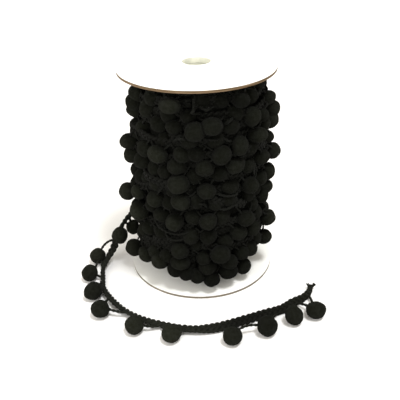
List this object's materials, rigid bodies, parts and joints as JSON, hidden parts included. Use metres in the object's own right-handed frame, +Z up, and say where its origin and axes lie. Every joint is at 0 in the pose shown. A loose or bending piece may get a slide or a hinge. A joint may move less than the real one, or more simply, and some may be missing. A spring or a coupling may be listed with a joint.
{
  "type": "roll of pompom trim",
  "caption": "Paper-faced board spool wound with black pompom trim, its loose plaited end with pompoms lying in an arc in front of it.",
  "frame": {"origin": "centre of the lower disc's underside, on the spool's axis", "axes": "+Z up the spool's axis; -Y is the front, where the loose end lies; +X to the right of the front"},
  "size_m": [0.1439, 0.1351, 0.1315],
  "materials": {
    "white_paper": "smooth white liner paper on grey-brown board",
    "tube_paper": "bare spiral-wound tube paper",
    "black_pile": "dense short cut pile, velvety, matte black",
    "black_braid": "plaited yarn, matte black"
  },
  "bodies": {
    "root": {"flange_bottom": "white_paper", "flange_top": "white_paper", "core_tube": "tube_paper", "wound_trim": "black_pile", "tail_braid": "black_braid", "tail_pompom_a": "black_pile", "tail_pompom_b": "black_pile", "tail_pompom_c": "black_pile", "tail_pompom_d": "black_pile", "tail_pompom_e": "black_pile", "tail_pompom_f": "black_pile", "tail_pompom_g": "black_pile", "tail_pompom_h": "black_pile", "tail_pompom_i": "black_pile", "tail_pompom_j": "black_pile", "tail_pompom_k": "black_pile", "tail_pompom_l": "black_pile"}
  },
  "joints": []
}
